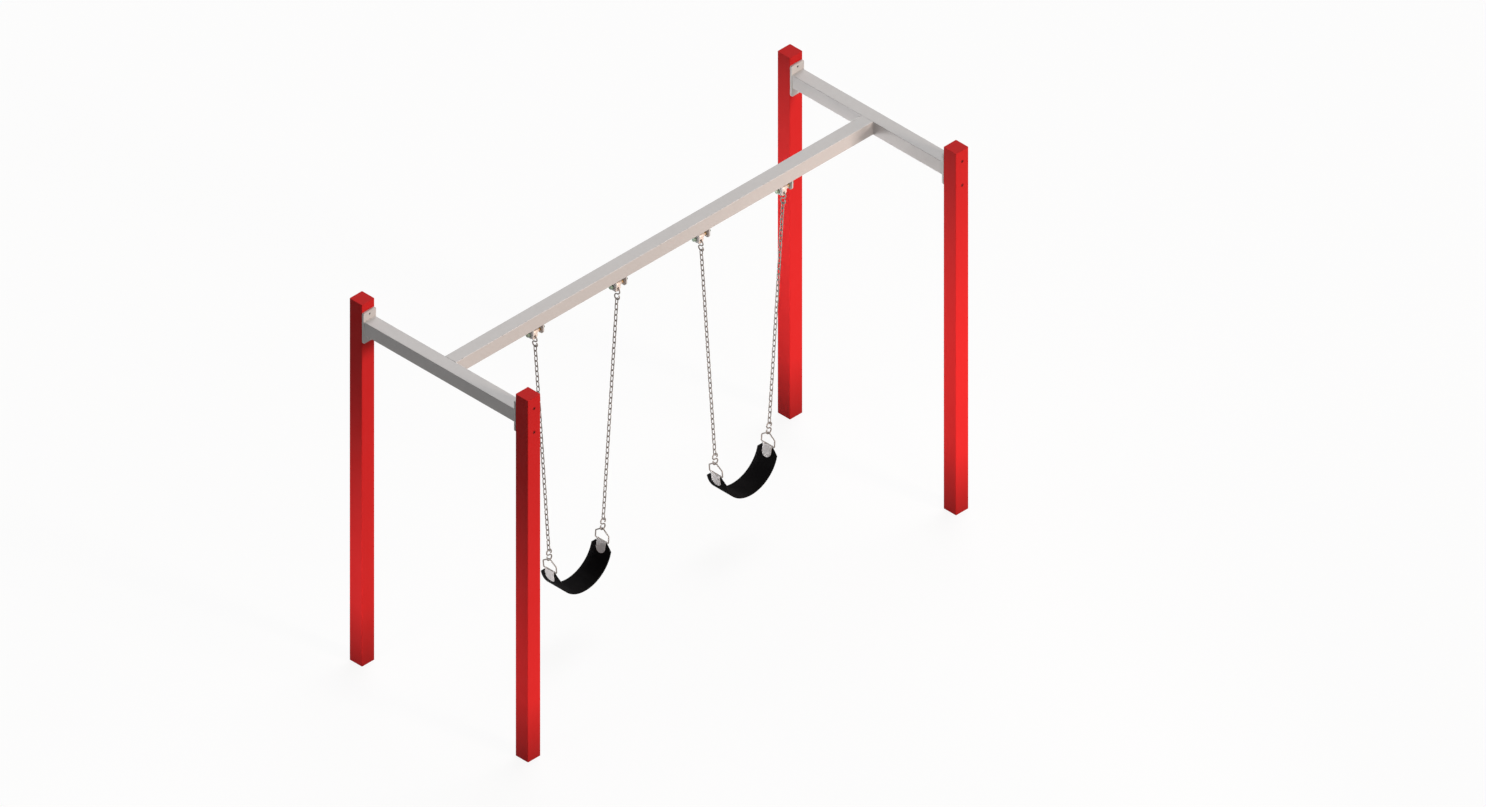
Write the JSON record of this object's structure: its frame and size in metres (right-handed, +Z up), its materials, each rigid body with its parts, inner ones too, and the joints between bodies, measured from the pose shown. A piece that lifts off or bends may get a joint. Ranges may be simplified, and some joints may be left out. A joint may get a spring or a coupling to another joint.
{
  "type": "swing frame",
  "caption": "Steel swing frame: square posts joined by end rails, a main beam between the rails, and belt seats hung on chains under the beam.",
  "frame": {"origin": "on the ground, under the middle of the main beam", "axes": "+X along the main beam, +Y from the front to the rear, +Z up"},
  "size_m": [3.524, 1.428, 2.5033],
  "materials": {
    "red_paint": "red powder coat, satin",
    "galvanised_tube": "hot-dip galvanised, dull",
    "zinc_fasteners": "yellow-green passivated zinc",
    "bronze_bush": "plain sintered bronze",
    "swivel_steel": "bright plated",
    "wire_steel": "galvanised chain and wire, dull",
    "clamp_steel": "pressed strip, zinc plated",
    "black_rubber": "black moulded rubber, fine lengthwise texture"
  },
  "bodies": {
    "frame": {"post_left_front": "red_paint", "post_cap_left_front": "red_paint", "rail_bolt_left_front_lower": "red_paint", "rail_bolt_left_front_upper": "red_paint", "post_left_rear": "red_paint", "post_cap_left_rear": "red_paint", "rail_bolt_left_rear_lower": "red_paint", "rail_bolt_left_rear_upper": "red_paint", "post_right_front": "red_paint", "post_cap_right_front": "red_paint", "rail_bolt_right_front_lower": "red_paint", "rail_bolt_right_front_upper": "red_paint", "post_right_rear": "red_paint", "post_cap_right_rear": "red_paint", "rail_bolt_right_rear_lower": "red_paint", "rail_bolt_right_rear_upper": "red_paint", "end_rail_left": "galvanised_tube", "beam_screw_left": "zinc_fasteners", "end_rail_right": "galvanised_tube", "beam_screw_right": "zinc_fasteners", "main_beam": "galvanised_tube", "hanger_bracket_1": "galvanised_tube", "hanger_bolt_1": "zinc_fasteners", "hanger_bracket_2": "galvanised_tube", "hanger_bolt_2": "zinc_fasteners", "hanger_bracket_3": "galvanised_tube", "hanger_bolt_3": "zinc_fasteners", "hanger_bracket_4": "galvanised_tube", "hanger_bolt_4": "zinc_fasteners"},
    "left_swing": {"hanger_bush_1": "bronze_bush", "hanger_swivel_1": "swivel_steel", "upper_hook_1": "wire_steel", "chain_1": "wire_steel", "lower_hook_1": "wire_steel", "hanger_bush_2": "bronze_bush", "hanger_swivel_2": "swivel_steel", "upper_hook_2": "wire_steel", "chain_2": "wire_steel", "lower_hook_2": "wire_steel"},
    "left_seat": {"seat_belt_left": "black_rubber", "seat_ring_1": "wire_steel", "seat_clamp_1": "clamp_steel", "seat_ring_2": "wire_steel", "seat_clamp_2": "clamp_steel"},
    "right_swing": {"hanger_bush_3": "bronze_bush", "hanger_swivel_3": "swivel_steel", "upper_hook_3": "wire_steel", "chain_3": "wire_steel", "lower_hook_3": "wire_steel", "hanger_bush_4": "bronze_bush", "hanger_swivel_4": "swivel_steel", "upper_hook_4": "wire_steel", "chain_4": "wire_steel", "lower_hook_4": "wire_steel"},
    "right_seat": {"seat_belt_right": "black_rubber", "seat_ring_3": "wire_steel", "seat_clamp_3": "clamp_steel", "seat_ring_4": "wire_steel", "seat_clamp_4": "clamp_steel"}
  },
  "joints": [
    {"name": "left_swing_hinge", "type": "hinge", "parent": "frame", "child": "left_swing", "pos_m": [-0.664, 0, 2.248], "axis": [1, 0, 0], "range_deg": [-75, 75]},
    {"name": "left_seat_tilt", "type": "hinge", "parent": "left_swing", "child": "left_seat", "pos_m": [-0.664, 0, 0.60396], "axis": [1, 0, 0], "range_deg": [-60, 60]},
    {"name": "right_swing_hinge", "type": "hinge", "parent": "frame", "child": "right_swing", "pos_m": [0.664, 0, 2.248], "axis": [1, 0, 0], "range_deg": [-75, 75]},
    {"name": "right_seat_tilt", "type": "hinge", "parent": "right_swing", "child": "right_seat", "pos_m": [0.664, 0, 0.60396], "axis": [1, 0, 0], "range_deg": [-60, 60]}
  ]
}
